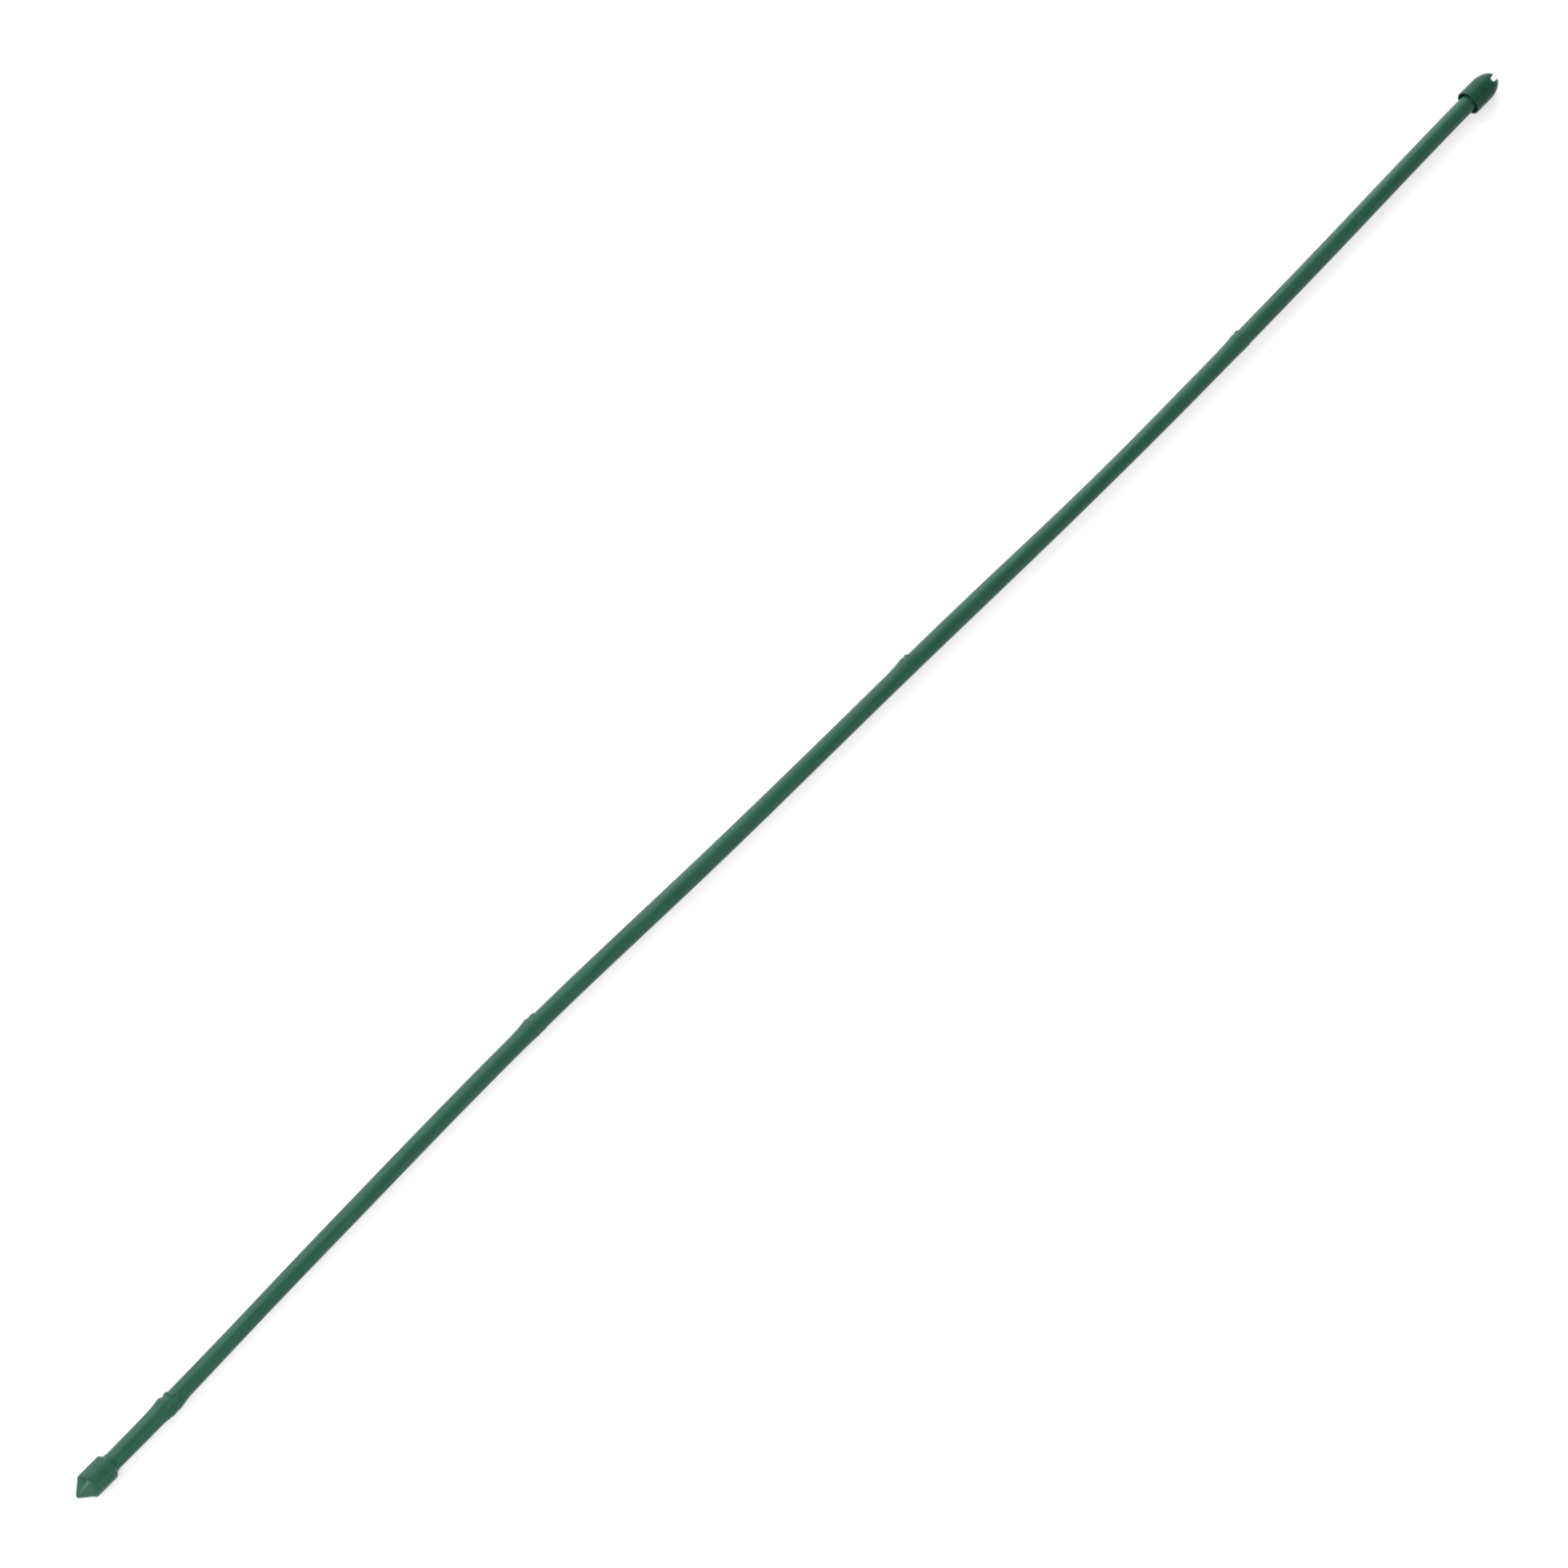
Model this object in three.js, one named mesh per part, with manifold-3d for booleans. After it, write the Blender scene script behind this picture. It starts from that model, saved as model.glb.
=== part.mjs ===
// A plastic-coated plant stake: a thin steel tube in a green coating that is moulded like a bamboo cane,
// with a pointed foot and a notched top cap pushed onto its two ends. Millimetres, +Z up.
// The stake lies along X with its point towards -X and rests on both caps at z = 0. The origin is under
// the middle of its length. Inside the group, x is counted from the tip of the point.
import * as THREE from "three";
import { mergeVertices } from "three/addons/utils/BufferGeometryUtils.js";
import Module from "manifold-3d";

const wasm = await Module();
wasm.setup();

// Stem
const STAKE_LENGTH = 1200; // tip of the point to the crown of the top cap, before its notch is cut
const STEM_DIAMETER = 10; // over the coating, between the nodes
const COATING_WALL = 0.6;
const TUBE_WALL = 0.45;
const BOND_GAP = 0.05; // coating to tube

// Nodes of the imitation cane: each has a long swell, a sharp ridge, a groove and a second, lower ridge
const FIRST_NODE = 67.5; // tip to the first sharp ridge
const NODE_PITCH = 297.7;
const RIDGE_HEIGHT = 1.0; // on a node's proud side
const PROUD_TURN = THREE.MathUtils.degToRad(-66); // proud side, from straight up towards -Y
const NODE_VARIETY = [
  { drift: 0, flatSide: 0.5 }, // drift along the stem, and the ridge height opposite the proud side
  { drift: -4.2, flatSide: 0.45 },
  { drift: 6.2, flatSide: 0.2 },
  { drift: 0, flatSide: 0.2 },
];
const NODE_OUTLINE = [
  [-9, 0], // place from the sharp ridge, and height as a part of the ridge height
  [-6, 0.12],
  [-3, 0.42],
  [-1, 0.8],
  [0, 1],
  [1.3, 0.6],
  [2.5, 0.4],
  [4.2, 0.76],
  [5.2, 0.5],
  [6.3, 0.16],
  [8.4, 0],
];
const BUD_NODE = 0; // this node carries a bud scar
const BUD = { place: 2, length: 5, width: 3.2, height: 0.75, turn: THREE.MathUtils.degToRad(74) };

// Bow of the stem, sideways at even places along its free length, level at both ends
const BOW = [0, 3.3, 5.3, 1.1, -1.2, -4.6, -3.3, 0];
const STRAIGHT_AT_CAP = 6; // straight stem outside each cap

// Both caps
const FIT_GAP = 0.15; // stem to the wall or rib that grips it
const END_GAP = 0.3; // stem end to the cap's seat
const MOUTH_GAP = 1.25; // stem to the open mouth of the top cap
const CAP_WALL = 1.1;

// Pointed foot
const POINT_LENGTH = 8.2;
const POINT_INSET = 0.3; // corners of the point inside the barrel
const POINT_SIDES = 4;
const POINT_ROOT = 0.2; // point carried on into the barrel
const POINT_TURN = THREE.MathUtils.degToRad(-8); // one ridge of the point, from straight up towards +Y
const TIP_RADIUS = 0.6;
const FOOT_EDGE = 1.5; // worn edge around the base of the point
const FOOT_BARREL = 15; // base of the point to the shoulder
const FOOT_SHOULDER = 1.7;
const FOOT_COLLAR = 1.4;
const COLLAR_WALL = 0.4;
const FOOT_FLOOR = 1.5; // base of the point to the seat

// Notched top cap
const TOP_BARREL = 12.4;
const TOP_DOME = 12.9;
const TOP_RIM = 0.4; // rounding of the mouth's outer edge
const NOTCH_WIDTH = 2.8;
const NOTCH_DEPTH = 7.2;
const NOTCH_TURN = THREE.MathUtils.degToRad(26); // the notch runs through, from straight up towards -Y
const TOP_ROOF = 3.5; // seat to the floor of the notch
const RIB_COUNT = 6;
const RIB_WIDTH = 1.2;
const RIB_SETBACK = 3; // mouth to the start of the grip ribs
const RIB_ROOT = 0.3; // rib carried on into the wall and the roof
const NOTCH_OVERCUT = 2; // notch cut carried on past the outside

// Facets
const ROUND_SIDES = 24;
const DOME_STEPS = 8;
const STATION_PITCH = 40;

// Worked-out places and radii
const STEM_RADIUS = STEM_DIAMETER / 2;
const CAP_RADIUS = STEM_RADIUS + MOUTH_GAP + CAP_WALL;
const GRIP_RADIUS = STEM_RADIUS + FIT_GAP;
const COATING_BORE = STEM_RADIUS - COATING_WALL;
const TUBE_RADIUS = COATING_BORE - BOND_GAP;
const TUBE_BORE = TUBE_RADIUS - TUBE_WALL;
const POINT_RADIUS = CAP_RADIUS - POINT_INSET;
const FOOT_BARREL_END = POINT_LENGTH + FOOT_BARREL;
const FOOT_COLLAR_START = FOOT_BARREL_END + FOOT_SHOULDER;
const FOOT_MOUTH = FOOT_COLLAR_START + FOOT_COLLAR;
const FOOT_SEAT = POINT_LENGTH + FOOT_FLOOR;
const NOTCH_FLOOR = STAKE_LENGTH - NOTCH_DEPTH;
const TOP_SEAT = NOTCH_FLOOR - TOP_ROOF;
const DOME_START = STAKE_LENGTH - TOP_DOME;
const TOP_MOUTH = DOME_START - TOP_BARREL;
const TOP_BORE = CAP_RADIUS - CAP_WALL;
const STEM_START = FOOT_SEAT + END_GAP;
const STEM_END = TOP_SEAT - END_GAP;
const BOW_START = FOOT_MOUTH + STRAIGHT_AT_CAP;
const BOW_END = TOP_MOUTH - STRAIGHT_AT_CAP;

// A round is a polygon whose flats lie at the true radius, with one flat at the bottom.
const FLAT_TO_CORNER = 1 / Math.cos(Math.PI / ROUND_SIDES);

// Turns a profile of [x, radius] points about the X axis.
function turned(profile) {
  const points = profile.map(([x, radius]) => new THREE.Vector2(radius * FLAT_TO_CORNER, x));
  const start = Math.PI / ROUND_SIDES;
  return new THREE.LatheGeometry(points, ROUND_SIDES, start).rotateZ(-Math.PI / 2);
}

// Closed solid from a three.js geometry, for joining and cutting.
function solidOf(geometry) {
  const bare = geometry.clone();
  bare.deleteAttribute("normal");
  bare.deleteAttribute("uv");
  const merged = mergeVertices(bare);
  const mesh = new wasm.Mesh({
    numProp: 3,
    vertProperties: merged.attributes.position.array,
    triVerts: new Uint32Array(merged.index.array),
  });
  return new wasm.Manifold(mesh);
}

function geometryOf(solid) {
  const mesh = solid.getMesh();
  const geometry = new THREE.BufferGeometry();
  geometry.setAttribute("position", new THREE.BufferAttribute(mesh.vertProperties, 3));
  geometry.setIndex(new THREE.BufferAttribute(mesh.triVerts, 1));
  geometry.computeVertexNormals();
  return geometry;
}

// Places of the sharp ridges: as many nodes as fit on the bowed part of the stem.
function nodePlaces() {
  const places = [];
  const reach = NODE_OUTLINE.at(-1)[0];
  for (let i = 0; ; i++) {
    const place = FIRST_NODE + i * NODE_PITCH + NODE_VARIETY[i % NODE_VARIETY.length].drift;
    if (place + reach > BOW_END) return places;
    places.push(place);
  }
}

const NODES = nodePlaces();

// Both ends of the stem and even places along its bow. The tube and the coating's bore share them, so
// that their facets match.
function spineStations() {
  const count = Math.ceil((BOW_END - BOW_START) / STATION_PITCH);
  const bend = Array.from({ length: count + 1 }, (_, i) => {
    return THREE.MathUtils.lerp(BOW_START, BOW_END, i / count);
  });
  return [STEM_START, ...bend, STEM_END];
}

const SPINE = spineStations();

// Even places between the nodes, and each node's own outline.
function coatingStations() {
  const [from] = NODE_OUTLINE[0];
  const [to] = NODE_OUTLINE.at(-1);
  const clear = SPINE.filter((x) => NODES.every((node) => x < node + from || x > node + to));
  const rings = NODES.flatMap((node) => NODE_OUTLINE.map(([place]) => node + place));
  return [...clear, ...rings].sort((a, b) => a - b);
}

const bowCurve = new THREE.CubicInterpolant(
  BOW.map((_, i) => THREE.MathUtils.lerp(BOW_START, BOW_END, i / (BOW.length - 1))),
  BOW,
  1,
);
bowCurve.settings = { endingStart: THREE.ZeroSlopeEnding, endingEnd: THREE.ZeroSlopeEnding };

// Moves each section of a straight stem piece sideways to its place on the bow.
function bowed(geometry) {
  const position = geometry.attributes.position;
  for (let i = 0; i < position.count; i++) {
    position.setY(i, position.getY(i) + bowCurve.evaluate(position.getX(i))[0]);
  }
  return geometry;
}

// Height of the node outline at a place counted from the sharp ridge, as a part of the ridge height.
function outlineHeight(place) {
  const next = NODE_OUTLINE.findIndex(([x]) => x >= place);
  if (next < 0 || place < NODE_OUTLINE[0][0]) return 0;
  if (next === 0) return NODE_OUTLINE[0][1];
  const [x0, h0] = NODE_OUTLINE[next - 1];
  const [x1, h1] = NODE_OUTLINE[next];
  return THREE.MathUtils.mapLinear(place, x0, x1, h0, h1);
}

// Height of the coating over the plain stem at x and at a turn from straight up towards -Y.
function nodeHeight(x, turn) {
  let height = 0;
  NODES.forEach((node, i) => {
    const { flatSide } = NODE_VARIETY[i % NODE_VARIETY.length];
    const proud = (1 + Math.cos(turn - PROUD_TURN)) / 2;
    height += outlineHeight(x - node) * THREE.MathUtils.lerp(flatSide, RIDGE_HEIGHT, proud);
    if (i === BUD_NODE) height = Math.max(height, budHeight(x - node, turn));
  });
  return height;
}

// Round bud scar on one side of a node.
function budHeight(place, turn) {
  const along = (place - BUD.place) / BUD.length;
  const around = (Math.atan2(Math.sin(turn - BUD.turn), Math.cos(turn - BUD.turn)) * STEM_RADIUS) / BUD.width;
  return BUD.height * Math.sqrt(Math.max(0, 1 - along ** 2 - around ** 2));
}

// Straight sleeve with matching ends, from the stations of its outer and inner walls.
function sleeve(outerStations, outerRadius, innerStations, innerRadius) {
  const outer = outerStations.map((x) => [x, outerRadius]);
  const inner = innerStations.map((x) => [x, innerRadius]).reverse();
  return turned([...outer, ...inner, outer[0]]);
}

function steelTube() {
  return bowed(sleeve(SPINE, TUBE_RADIUS, SPINE, TUBE_BORE));
}

function plasticCoating() {
  const geometry = sleeve(coatingStations(), STEM_RADIUS, SPINE, COATING_BORE);
  const position = geometry.attributes.position;
  for (let i = 0; i < position.count; i++) {
    const y = position.getY(i);
    const z = position.getZ(i);
    const radius = Math.hypot(y, z);
    if (radius < STEM_RADIUS) continue;
    const grown = 1 + nodeHeight(position.getX(i), Math.atan2(-y, z)) / radius;
    position.setY(i, y * grown);
    position.setZ(i, z * grown);
  }
  return bowed(geometry);
}

function footPoint() {
  const barrel = turned([
    [POINT_LENGTH, 0],
    [POINT_LENGTH, POINT_RADIUS],
    [POINT_LENGTH + FOOT_EDGE, CAP_RADIUS],
    [FOOT_BARREL_END, CAP_RADIUS],
    [FOOT_COLLAR_START, GRIP_RADIUS + COLLAR_WALL],
    [FOOT_MOUTH, GRIP_RADIUS + COLLAR_WALL],
    [FOOT_MOUTH, GRIP_RADIUS],
    [FOOT_SEAT, GRIP_RADIUS],
    [FOOT_SEAT, 0],
  ]);
  const slope = (POINT_RADIUS - TIP_RADIUS) / POINT_LENGTH;
  const length = POINT_LENGTH + POINT_ROOT;
  const rootRadius = TIP_RADIUS + slope * length;
  const point = new THREE.CylinderGeometry(TIP_RADIUS, rootRadius, length, POINT_SIDES, 1, false, POINT_TURN);
  point.rotateZ(Math.PI / 2).translate(length / 2, 0, 0);
  return geometryOf(solidOf(barrel).add(solidOf(point)));
}

function topCap() {
  const dome = Array.from({ length: DOME_STEPS }, (_, i) => {
    const angle = ((i + 1) / DOME_STEPS) * (Math.PI / 2);
    const onAxis = i + 1 === DOME_STEPS;
    return [DOME_START + TOP_DOME * Math.sin(angle), onAxis ? 0 : CAP_RADIUS * Math.cos(angle)];
  });
  const shell = turned([
    [TOP_SEAT, 0],
    [TOP_SEAT, TOP_BORE],
    [TOP_MOUTH, TOP_BORE],
    [TOP_MOUTH, CAP_RADIUS - TOP_RIM],
    [TOP_MOUTH + TOP_RIM, CAP_RADIUS],
    [DOME_START, CAP_RADIUS],
    ...dome,
  ]);
  let cap = solidOf(shell);
  for (let i = 0; i < RIB_COUNT; i++) {
    cap = cap.add(solidOf(gripRib((i / RIB_COUNT) * 2 * Math.PI)));
  }
  const cut = NOTCH_DEPTH + NOTCH_OVERCUT;
  const notch = new THREE.BoxGeometry(cut, NOTCH_WIDTH, 2 * (CAP_RADIUS + NOTCH_OVERCUT));
  notch.translate(NOTCH_FLOOR + cut / 2, 0, 0).rotateX(NOTCH_TURN);
  return geometryOf(cap.subtract(solidOf(notch)));
}

// One grip rib inside the top cap: it runs from behind the mouth to the seat.
function gripRib(turn) {
  const from = TOP_MOUTH + RIB_SETBACK;
  const length = TOP_SEAT + RIB_ROOT - from;
  const height = TOP_BORE + RIB_ROOT - GRIP_RADIUS;
  const rib = new THREE.BoxGeometry(length, RIB_WIDTH, height);
  rib.translate(from + length / 2, 0, GRIP_RADIUS + height / 2);
  return rib.rotateX(turn);
}

const coatingGreen = new THREE.MeshStandardMaterial({ color: 0x3a6852, roughness: 0.5, metalness: 0 });
const capGreen = new THREE.MeshStandardMaterial({ color: 0x305b46, roughness: 0.45, metalness: 0 });
const zincSteel = new THREE.MeshStandardMaterial({ color: 0xb7bbbd, roughness: 0.45, metalness: 1 });

const PIECES = [
  ["steel_tube", steelTube, zincSteel],
  ["plastic_coating", plasticCoating, coatingGreen],
  ["foot_point", footPoint, capGreen],
  ["top_cap", topCap, capGreen],
];

const stake = new THREE.Group();
const lying = new THREE.Group();
lying.position.set(-STAKE_LENGTH / 2, 0, CAP_RADIUS);
for (const [name, make, material] of PIECES) {
  const mesh = new THREE.Mesh(make(), material);
  mesh.name = name;
  lying.add(mesh);
}
stake.add(lying);

export default stake;
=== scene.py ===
# Looks of a plastic-coated plant stake, modelled over its packed frame. Metres, +Z up. The stake lies along X
# on its two caps, with its point towards -X. Places along it are counted from the tip, and turns about it
# from straight up towards -Y.
import math
from collections import namedtuple

import bmesh
import bpy
from bpy.props import FloatProperty, FloatVectorProperty, IntProperty, PointerProperty
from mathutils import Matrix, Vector


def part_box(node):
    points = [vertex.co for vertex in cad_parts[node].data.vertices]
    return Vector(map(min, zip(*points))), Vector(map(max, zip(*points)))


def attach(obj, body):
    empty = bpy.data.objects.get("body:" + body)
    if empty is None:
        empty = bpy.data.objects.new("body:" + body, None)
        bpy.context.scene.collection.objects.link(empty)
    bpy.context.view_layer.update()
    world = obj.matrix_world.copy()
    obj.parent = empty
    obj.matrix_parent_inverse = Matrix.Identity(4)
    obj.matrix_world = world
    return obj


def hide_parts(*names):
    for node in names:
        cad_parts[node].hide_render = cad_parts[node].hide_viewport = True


bl_info = {
    "name": "Plant Stake",
    "version": (1, 0, 0),
    "blender": (4, 5, 0),
    "location": "View3D > Sidebar > Stake",
    "description": "Models a plastic-coated plant stake over its packed frame",
    "category": "Object",
}

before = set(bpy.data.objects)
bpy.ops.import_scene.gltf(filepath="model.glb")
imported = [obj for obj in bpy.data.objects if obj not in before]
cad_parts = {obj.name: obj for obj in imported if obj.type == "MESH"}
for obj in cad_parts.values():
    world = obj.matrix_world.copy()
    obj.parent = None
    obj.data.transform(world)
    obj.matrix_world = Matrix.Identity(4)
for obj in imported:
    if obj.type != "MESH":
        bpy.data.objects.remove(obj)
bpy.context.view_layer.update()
FOOT_LOW, FOOT_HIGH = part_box("foot_point")
TOP_LOW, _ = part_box("top_cap")
TUBE_LOW, TUBE_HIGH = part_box("steel_tube")

TIP = FOOT_LOW.x
FOOT_MOUTH = FOOT_HIGH.x - TIP
TOP_MOUTH = TOP_LOW.x - TIP
CAP_RADIUS = (FOOT_HIGH.z - FOOT_LOW.z) / 2
AXIS_HEIGHT = FOOT_LOW.z + CAP_RADIUS
TUBE_RADIUS = (TUBE_HIGH.z - TUBE_LOW.z) / 2

FULL_TURN = 2 * math.pi
RIGHT_ANGLE = math.pi / 2
# Lengths below this count as nothing.
TINY = 1e-6
# Decimals of a metre that tell the rings of the frame's tube apart.
RING_DECIMALS = 5
# Edges that bend more than this are sharp.
SHARP_BEND = math.radians(40)
# Sides of the turned caps.
CAP_SIDES = 72
# Subdivisions that smooth the stem's two sleeves.
SLEEVE_LEVELS = 2
# Rounding at which a crest or a groove has about its full relief.
RELIEF_REACH = 0.0008
PLASTIC_IOR = 1.5
WHITE = (1.0, 1.0, 1.0)

# Stem diameters, as (place, diameter): the coating was drawn on a little unevenly.
GIRTHS = (
    (0.000, 0.0100),
    (0.030, 0.0100),
    (0.056, 0.0103),
    (0.085, 0.0098),
    (0.132, 0.0094),
    (0.205, 0.0098),
    (0.330, 0.0099),
    (0.385, 0.0100),
    (0.490, 0.0101),
    (0.615, 0.0098),
    (0.725, 0.0101),
    (0.833, 0.0093),
    (0.920, 0.0098),
    (1.010, 0.0099),
    (1.140, 0.0100),
    (1.200, 0.0100),
)

# A node of the cane: the place of its first ridge, the stretch of the rings past it, the heights of its first
# ridge, groove and second ridge where it stands proud, and the share of them on the far side.
Node = namedtuple("Node", "place stretch first_ridge groove second_ridge far_share")
NODES = (
    Node(0.0684, 1.06, 0.00100, 0.00024, 0.00076, 0.10),
    Node(0.3628, 1.08, 0.00102, 0.00060, 0.00082, 0.30),
    Node(0.6690, 0.74, 0.00092, 0.00060, 0.00094, 0.06),
    Node(0.9571, 0.74, 0.00066, 0.00040, 0.00082, 0.34),
)
# Turn at which the nodes stand proud.
PROUD_TURN = math.radians(-66)

# A ring over a node: its place from the first ridge, and its shares of the node's three heights.
Ring = namedtuple("Ring", "place first_ridge groove second_ridge")
NODE_RINGS = (
    Ring(-0.0130, 0.00, 0.0, 0.00),
    Ring(-0.0095, 0.12, 0.0, 0.00),
    Ring(-0.0065, 0.27, 0.0, 0.00),
    Ring(-0.0050, 0.40, 0.0, 0.00),
    Ring(-0.0038, 0.53, 0.0, 0.00),
    Ring(-0.0028, 0.66, 0.0, 0.00),
    Ring(-0.0018, 0.80, 0.0, 0.00),
    Ring(-0.0006, 0.98, 0.0, 0.00),
    Ring(0.0001, 1.06, 0.0, 0.00),
    Ring(0.0005, 0.85, 0.0, 0.00),
    Ring(0.0010, 0.10, 0.9, 0.00),
    Ring(0.0015, 0.00, 1.0, 0.00),
    Ring(0.0026, 0.00, 1.0, 0.00),
    Ring(0.0033, 0.00, 0.5, 0.45),
    Ring(0.0039, 0.00, 0.0, 1.00),
    Ring(0.0046, 0.00, 0.0, 1.08),
    Ring(0.0051, 0.00, 0.0, 0.80),
    Ring(0.0056, 0.00, 0.0, 0.10),
    Ring(0.0061, 0.00, 0.0, 0.00),
    Ring(0.0075, 0.00, 0.0, 0.00),
    Ring(0.0105, 0.00, 0.0, 0.00),
)

# A part of the bud scar on the first node: its place from the first ridge, its turn in degrees, half its
# length, half its spread in degrees, its height, and the power by which it falls off.
Swell = namedtuple("Swell", "place turn half_length half_spread height falloff")
BUD_SWELLS = (
    # The broad swell.
    Swell(0.0030, 86, 0.0105, 78, 0.00095, 1.3),
    # A slanting lip across it.
    Swell(-0.0042, 50, 0.0012, 20, 0.00020, 1.0),
    Swell(-0.0026, 72, 0.0012, 24, 0.00028, 1.0),
    Swell(-0.0008, 96, 0.0012, 22, 0.00014, 1.0),
    # The furrow behind the lip.
    Swell(-0.0024, 50, 0.0012, 18, -0.00014, 1.0),
    Swell(-0.0006, 72, 0.0014, 22, -0.00022, 1.0),
    # A small eye and a pit.
    Swell(-0.0003, 30, 0.0011, 13, 0.00022, 1.0),
    Swell(0.0052, 74, 0.0014, 14, -0.00016, 1.0),
)

# Rings of the foot's point, as (place, ridge from the axis before it is flattened). The first lies inside the
# barrel and the second at its base.
POINT_RINGS = (
    (0.0084, 0.00800),
    (0.0082, 0.00786),
    (0.0065, 0.00637),
    (0.0045, 0.00469),
    (0.0025, 0.00300),
    (0.0010, 0.00165),
    (0.0004, 0.00105),
    (0.0001, 0.00066),
    (0.0000, 0.00033),
)
POINT_BASE = POINT_RINGS[1][0]

# A soft lamp: its name, its place, the point that it faces, its width and height, and its power in watts.
Lamp = namedtuple("Lamp", "name place target size power")
LAMPS = (
    Lamp("key_light", (1.9, 2.16, 1.45), (1.9, 0, 0), (4.6, 2.9), 106),
    Lamp("upper_light", (1.7, 1.55, 2.15), (1.7, 0, 0), (4.2, 0.9), 24),
    Lamp("edge_light", (2.6, 2.6, 0.6), (2.6, 0, 0), (3.0, 1.0), 14),
    Lamp("top_light", (0.85, 0.77, 3.1), (0.85, 0, 0), (1.7, 1.5), 18),
    Lamp("strip_light", (1.1, -2.25, 0.62), (1.1, 0, 0), (2.6, 0.14), 9),
    Lamp("near_light", (-1.7, -0.6, 1.6), (-0.5, 0, 0), (1.0, 0.8), 23),
    Lamp("low_light", (-1.94, -1.98, 0.27), (-0.59, 0, 0), (0.6, 0.4), 14),
    Lamp("front_light", (-2.74, 0.2, 1.47), (-0.59, 0, 0), (0.5, 0.4), 26),
    Lamp("end_light", (2.6, -0.5, 1.15), (0.2, 0, 0), (0.5, 0.3), 4),
)


class StemSizes(bpy.types.PropertyGroup):
    """Sizes of the coated tube"""

    coating_wall: FloatProperty(
        name="Coating Wall", description="Thickness of the plastic between the nodes",
        default=0.0006, unit="LENGTH")
    tube_wall: FloatProperty(
        name="Tube Wall", description="Thickness of the steel strip", default=0.00045, unit="LENGTH")
    ring_pitch: FloatProperty(
        name="Ring Pitch", description="Length of plain stem between two rings",
        default=0.016, unit="LENGTH")
    end_round: FloatProperty(
        name="End Rounding", description="Rounding of the cut ends", default=0.00012, unit="LENGTH")
    sides: IntProperty(
        name="Sides", description="Sides of the rings before smoothing", default=28, min=3)
    tube_smooth: FloatProperty(
        name="Tube Smoothing", description="Bend up to which the tube's edges are shaded smooth",
        default=math.radians(40), subtype="ANGLE")
    coating_smooth: FloatProperty(
        name="Coating Smoothing", description="Bend up to which the coating's edges are shaded smooth",
        default=math.radians(50), subtype="ANGLE")


class FootSizes(bpy.types.PropertyGroup):
    """Sizes of the pointed foot"""

    point_turn: FloatProperty(
        name="Point Turn", description="Turn of one ridge of the point",
        default=math.radians(12), subtype="ANGLE")
    ridge_flat: FloatProperty(
        name="Ridge Flat", description="Share of a side that is flattened off at each ridge",
        default=11, subtype="PERCENTAGE", min=0, max=50)
    edge_length: FloatProperty(
        name="Edge Length", description="Length of the worn edge around the base",
        default=0.0010, unit="LENGTH")
    edge_depth: FloatProperty(
        name="Edge Depth", description="Depth of the worn edge around the base",
        default=0.0003, unit="LENGTH")
    barrel: FloatProperty(
        name="Barrel", description="Base of the point to the shoulder", default=0.015, unit="LENGTH")
    shoulder: FloatProperty(
        name="Shoulder", description="Length of the sloping shoulder", default=0.0016, unit="LENGTH")
    shoulder_round: FloatProperty(
        name="Shoulder Rounding", description="Rounding where the shoulder starts and ends",
        default=0.0005, unit="LENGTH")
    shoulder_slope: FloatProperty(
        name="Shoulder Slope", description="Turn at which the roundings meet the shoulder",
        default=0.35 * RIGHT_ANGLE, subtype="ANGLE")
    collar_wall: FloatProperty(
        name="Collar Wall", description="Wall of the collar around the stem",
        default=0.00026, unit="LENGTH")
    floor: FloatProperty(
        name="Floor", description="Base of the point to the stem's seat", default=0.0015, unit="LENGTH")
    bore: FloatProperty(
        name="Bore", description="Diameter of the socket", default=0.0103, unit="LENGTH")
    smooth: FloatProperty(
        name="Smoothing", description="Bend up to which the foot's edges are shaded smooth",
        default=math.radians(20), subtype="ANGLE")


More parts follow.
